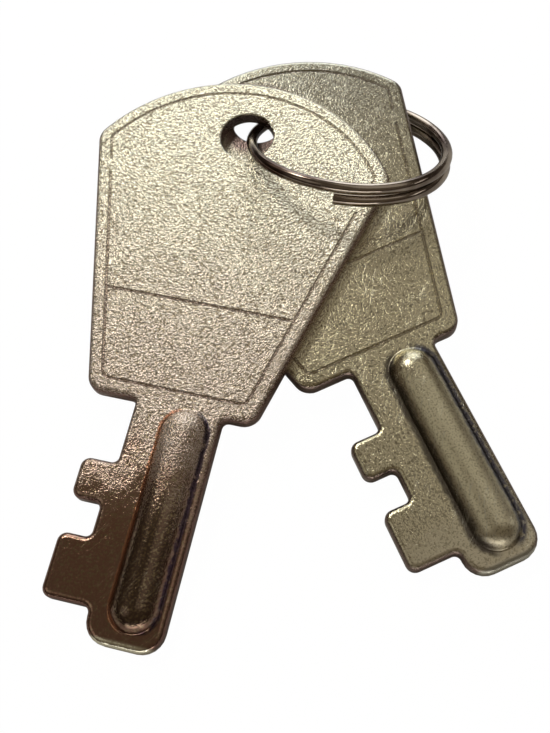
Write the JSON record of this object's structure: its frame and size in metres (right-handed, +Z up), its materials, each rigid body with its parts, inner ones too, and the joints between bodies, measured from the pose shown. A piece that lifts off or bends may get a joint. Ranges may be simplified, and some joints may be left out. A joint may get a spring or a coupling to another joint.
{
  "type": "pair of keys",
  "caption": "Flat stamped steel keys, each with a pressed rib and a toothed blade, threaded together on a small split ring, for a small lever lock.",
  "frame": {"origin": "middle of the footprint's box, on the surface that the keys lie on", "axes": "+Y from the keys' tips to their bows, +X to the right seen from above, +Z up"},
  "size_m": [0.029, 0.0408, 0.0072],
  "materials": {
    "key_plate": "nickel plate over shot-blasted steel, warm tint, fine bright grain",
    "ring_wire": "polished nickel plate, dark, a little worn"
  },
  "bodies": {
    "ring": {"split_ring": "ring_wire"},
    "key_in_front": {"front_key": "key_plate"},
    "key_behind": {"rear_key": "key_plate"}
  },
  "joints": [
    {"name": "front_key_swing", "type": "hinge", "parent": "ring", "child": "key_in_front", "pos_m": [-0.00198, 0.01341, 0.00374], "axis": [-0.0435, -0.0857, 0.9954], "range_deg": [-200, 10]},
    {"name": "rear_key_swing", "type": "hinge", "parent": "ring", "child": "key_behind", "pos_m": [-0.00122, 0.01549, 0.00285], "axis": [-0.0435, -0.0857, 0.9954], "range_deg": [-10, 7]}
  ]
}
